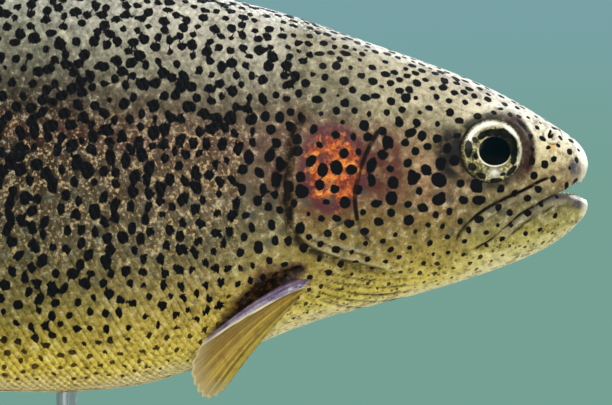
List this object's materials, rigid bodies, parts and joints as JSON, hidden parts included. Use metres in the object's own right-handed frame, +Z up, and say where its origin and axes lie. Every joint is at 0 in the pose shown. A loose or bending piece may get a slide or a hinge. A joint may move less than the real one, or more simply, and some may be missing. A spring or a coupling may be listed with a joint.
{
  "type": "rainbow trout display model",
  "caption": "Life-size rainbow trout in a level swimming pose, mouth a little open, held on two rods over a flat wooden base.",
  "frame": {"origin": "centre of the base's underside, on the surface that the stand rests on", "axes": "+X towards the fish's snout, +Y towards its left side, +Z up"},
  "size_m": [0.4521, 0.112, 0.2441],
  "materials": {
    "trout_skin": "wet, finely scaled skin: olive above, yellow below, black spots and a rosy cheek",
    "trout_fin": "thin rayed fin membrane, olive to pale lavender, spotted on the back and tail fins",
    "trout_eye": "clear glossy cornea over a silver and gold iris and a blue-black pupil",
    "stand_wood": "oiled walnut",
    "stand_steel": "satin"
  },
  "bodies": {
    "root": {"head": "trout_skin", "lower_jaw": "trout_skin", "gill_cover_left": "trout_skin", "gill_cover_right": "trout_skin", "eye_left": "trout_eye", "eye_right": "trout_eye", "trunk_front": "trout_skin", "trunk_middle": "trout_skin", "trunk_rear": "trout_skin", "tail_stem": "trout_skin", "dorsal_fin": "trout_fin", "adipose_fin": "trout_fin", "anal_fin": "trout_fin", "tail_fin": "trout_fin", "pectoral_fin_left": "trout_fin", "pectoral_fin_right": "trout_fin", "pelvic_fin_left": "trout_fin", "pelvic_fin_right": "trout_fin", "stand_base": "stand_wood", "stand_rod_front": "stand_steel", "stand_rod_rear": "stand_steel"}
  },
  "joints": []
}
